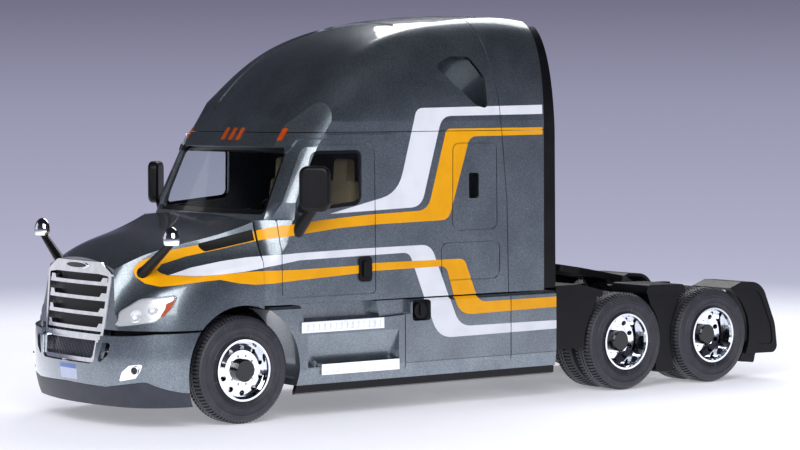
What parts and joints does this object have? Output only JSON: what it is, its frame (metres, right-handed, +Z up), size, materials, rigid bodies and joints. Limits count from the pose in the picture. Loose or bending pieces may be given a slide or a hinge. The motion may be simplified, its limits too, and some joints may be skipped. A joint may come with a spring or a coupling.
{
  "type": "scale model semi truck tractor unit",
  "caption": "Display model of a long-nose road tractor with a raised-roof sleeper cab, two driven rear axles on twin tyres and a tilting fifth wheel plate.",
  "frame": {"origin": "on the ground under the middle of the model's length and width", "axes": "+X forward, +Y to the model's left, +Z up"},
  "size_m": [0.19, 0.0732, 0.0907],
  "materials": {
    "paint": "dark grey-green metallic paint",
    "glass": "clear moulded glazing",
    "lamp_lens": "clear lamp lens over a silver bowl",
    "amber_lens": "amber lens",
    "red_lens": "red lens",
    "chrome": "bright plated plastic",
    "black_plastic": "satin black moulded plastic",
    "cab_trim": "dark grey moulded plastic",
    "seat_beige": "beige moulded plastic",
    "chassis_black": "black moulded plastic",
    "pin_steel": "bright steel pin",
    "tyre": "matte black soft plastic",
    "rim_chrome": "bright plated plastic",
    "hub_black": "black moulded plastic"
  },
  "bodies": {
    "chassis": {"cab_shell": "paint", "roof_cap": "paint", "windscreen": "glass", "door_glass": "glass", "sleeper_windows": "glass", "hood": "paint", "hood_vents": "black_plastic", "headlamps": "lamp_lens", "grille_frame": "chrome", "grille_mesh": "black_plastic", "front_bumper": "paint", "bumper_valance": "black_plastic", "fog_lamps": "lamp_lens", "marker_lamps": "amber_lens", "interior_tub": "cab_trim", "seats": "seat_beige", "steering_wheel": "black_plastic", "door_mirror_left": "black_plastic", "door_mirror_right": "black_plastic", "hood_mirror_heads": "chrome", "hood_mirror_arms": "black_plastic", "door_handles": "black_plastic", "side_fairing_left": "paint", "side_fairing_right": "paint", "fairing_sills": "black_plastic", "step_treads": "chrome", "filler_recesses": "black_plastic", "cab_extenders": "black_plastic", "frame_rails": "chassis_black", "crossmembers": "chassis_black", "driveline": "chassis_black", "front_axle": "chassis_black", "rear_axles": "chassis_black", "axle_pins": "pin_steel", "tandem_fenders_left": "black_plastic", "tandem_fenders_right": "black_plastic", "fifth_wheel_base": "chassis_black", "tail_lamps": "red_lens"},
    "front_wheel_left": {"front_tyre_left": "tyre", "front_rim_left": "rim_chrome", "front_hub_left": "hub_black"},
    "front_wheel_right": {"front_tyre_right": "tyre", "front_rim_right": "rim_chrome", "front_hub_right": "hub_black"},
    "rear1_wheel_left": {"rear1_tyre_left": "tyre", "rear1_rim_left": "rim_chrome", "rear1_hub_left": "hub_black"},
    "rear1_wheel_right": {"rear1_tyre_right": "tyre", "rear1_rim_right": "rim_chrome", "rear1_hub_right": "hub_black"},
    "rear2_wheel_left": {"rear2_tyre_left": "tyre", "rear2_rim_left": "rim_chrome", "rear2_hub_left": "hub_black"},
    "rear2_wheel_right": {"rear2_tyre_right": "tyre", "rear2_rim_right": "rim_chrome", "rear2_hub_right": "hub_black"},
    "fifth_wheel": {"fifth_wheel_plate": "chassis_black"}
  },
  "joints": [
    {"name": "front_wheel_left_spin", "type": "hinge", "parent": "chassis", "child": "front_wheel_left", "pos_m": [0.066, 0.0247, 0.0118], "axis": [0, 1, 0], "continuous": true},
    {"name": "front_wheel_right_spin", "type": "hinge", "parent": "chassis", "child": "front_wheel_right", "pos_m": [0.066, -0.0247, 0.0118], "axis": [0, 1, 0], "continuous": true},
    {"name": "rear1_wheel_left_spin", "type": "hinge", "parent": "chassis", "child": "rear1_wheel_left", "pos_m": [-0.044, 0.02135, 0.0118], "axis": [0, 1, 0], "continuous": true},
    {"name": "rear1_wheel_right_spin", "type": "hinge", "parent": "chassis", "child": "rear1_wheel_right", "pos_m": [-0.044, -0.02135, 0.0118], "axis": [0, 1, 0], "continuous": true},
    {"name": "rear2_wheel_left_spin", "type": "hinge", "parent": "chassis", "child": "rear2_wheel_left", "pos_m": [-0.0726, 0.02135, 0.0118], "axis": [0, 1, 0], "continuous": true},
    {"name": "rear2_wheel_right_spin", "type": "hinge", "parent": "chassis", "child": "rear2_wheel_right", "pos_m": [-0.0726, -0.02135, 0.0118], "axis": [0, 1, 0], "continuous": true},
    {"name": "fifth_wheel_tilt", "type": "hinge", "parent": "chassis", "child": "fifth_wheel", "pos_m": [-0.053, 0, 0.0243], "axis": [0, 1, 0], "range_deg": [0, 20]}
  ]
}
